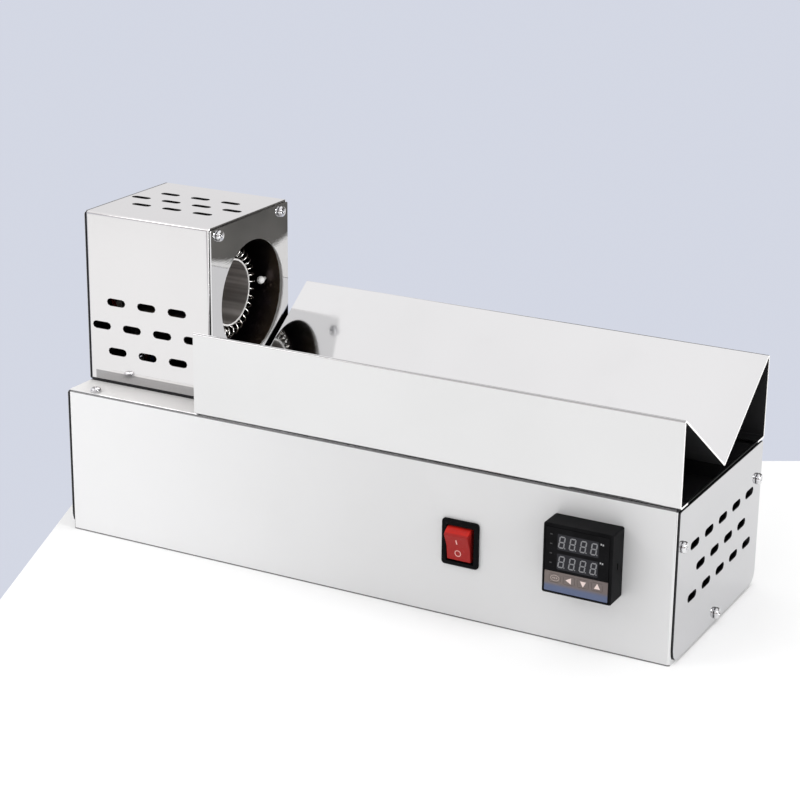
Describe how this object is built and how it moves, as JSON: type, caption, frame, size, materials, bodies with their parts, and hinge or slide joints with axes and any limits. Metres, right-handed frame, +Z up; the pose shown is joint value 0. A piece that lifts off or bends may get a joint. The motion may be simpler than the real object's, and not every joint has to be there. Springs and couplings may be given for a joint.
{
  "type": "bottle shrink sleeve machine",
  "caption": "Desktop stainless heat shrinker for bottle capsules: slotted heater box with a round mouth, V trough, base with power switch and temperature controller.",
  "frame": {"origin": "middle of the base box's footprint, on the ground, at the underside of the tray", "axes": "+Z up, the front with the switch and the controller looks along -Y, +X runs from the heater box to the open end of the trough"},
  "size_m": [0.4758, 0.1797, 0.233],
  "materials": {
    "polished_steel": "mirror-polished stainless sheet",
    "bright_fastener": "bright plated pan head screws and pins",
    "dark_steel": "heat-darkened steel inside the chamber",
    "resistance_wire": "bare resistance wire",
    "ceramic": "white ceramic, matt",
    "black_plastic": "moulded black plastic",
    "smoked_window": "smoked gloss window",
    "key_overlay": "printed strip, brown-grey over blue",
    "key_cap": "brown-grey key with a pale symbol",
    "red_plastic": "translucent red rocker",
    "grey_plastic": "grey moulded relay",
    "red_lead": "silicone insulation",
    "blue_lead": "silicone insulation",
    "white_lead": "glass fibre sleeve"
  },
  "bodies": {
    "housing": {"base_shell": "polished_steel", "base_tray": "polished_steel", "left_end_panel": "polished_steel", "right_end_panel": "polished_steel", "heater_cover": "polished_steel", "mouth_plate": "polished_steel", "heater_rear_plate": "polished_steel", "bottle_trough": "polished_steel", "chamber_tube": "dark_steel", "chamber_back_disc": "dark_steel", "inner_sleeve": "polished_steel", "heating_coil": "resistance_wire", "coil_standoff_back": "ceramic", "coil_standoff_front": "ceramic", "coil_terminal": "ceramic", "thermocouple_probe": "polished_steel", "controller_case": "black_plastic", "display_window": "smoked_window", "key_overlay": "key_overlay", "controller_clamp": "black_plastic", "switch_frame": "black_plastic", "power_inlet": "black_plastic", "inlet_pin_live": "bright_fastener", "inlet_pin_earth": "bright_fastener", "inlet_pin_neutral": "bright_fastener", "relay": "grey_plastic", "terminal_strip": "black_plastic", "heater_lead_live": "red_lead", "heater_lead_neutral": "blue_lead", "thermocouple_lead": "white_lead", "left_panel_screw_front": "bright_fastener", "left_panel_screw_back": "bright_fastener", "left_panel_screw_foot": "bright_fastener", "right_panel_screw_front": "bright_fastener", "right_panel_screw_back": "bright_fastener", "right_panel_screw_foot": "bright_fastener", "rear_plate_screw_low_front": "bright_fastener", "rear_plate_screw_low_back": "bright_fastener", "rear_plate_screw_top_front": "bright_fastener", "rear_plate_screw_top_back": "bright_fastener", "mouth_plate_screw_low_front": "bright_fastener", "mouth_plate_screw_low_back": "bright_fastener", "mouth_plate_screw_top_front": "bright_fastener", "mouth_plate_screw_top_back": "bright_fastener", "base_top_screw_front": "bright_fastener", "base_top_screw_back": "bright_fastener", "trough_screw_1": "bright_fastener", "trough_screw_2": "bright_fastener", "trough_screw_3": "bright_fastener", "trough_screw_4": "bright_fastener", "heater_foot_screw_1": "bright_fastener", "heater_foot_screw_2": "bright_fastener", "tray_screw": "bright_fastener", "inlet_screw_1": "bright_fastener", "inlet_screw_2": "bright_fastener"},
    "rocker": {"switch_rocker": "red_plastic"},
    "key_set": {"key_set": "key_cap"},
    "key_left": {"key_left": "key_cap"},
    "key_down": {"key_down": "key_cap"},
    "key_up": {"key_up": "key_cap"}
  },
  "joints": [
    {"name": "rocker_tilt", "type": "hinge", "parent": "housing", "child": "rocker", "pos_m": [0.0838, -0.075, 0.0537], "axis": [-1, 0, 0], "range_deg": [0, 32]},
    {"name": "key_set_press", "type": "slide", "parent": "housing", "child": "key_set", "axis": [0, 1, 0], "range_m": [0, 0.0005], "stiffness_N_per_m": 300},
    {"name": "key_left_press", "type": "slide", "parent": "housing", "child": "key_left", "axis": [0, 1, 0], "range_m": [0, 0.0005], "stiffness_N_per_m": 300},
    {"name": "key_down_press", "type": "slide", "parent": "housing", "child": "key_down", "axis": [0, 1, 0], "range_m": [0, 0.0005], "stiffness_N_per_m": 300},
    {"name": "key_up_press", "type": "slide", "parent": "housing", "child": "key_up", "axis": [0, 1, 0], "range_m": [0, 0.0005], "stiffness_N_per_m": 300}
  ]
}
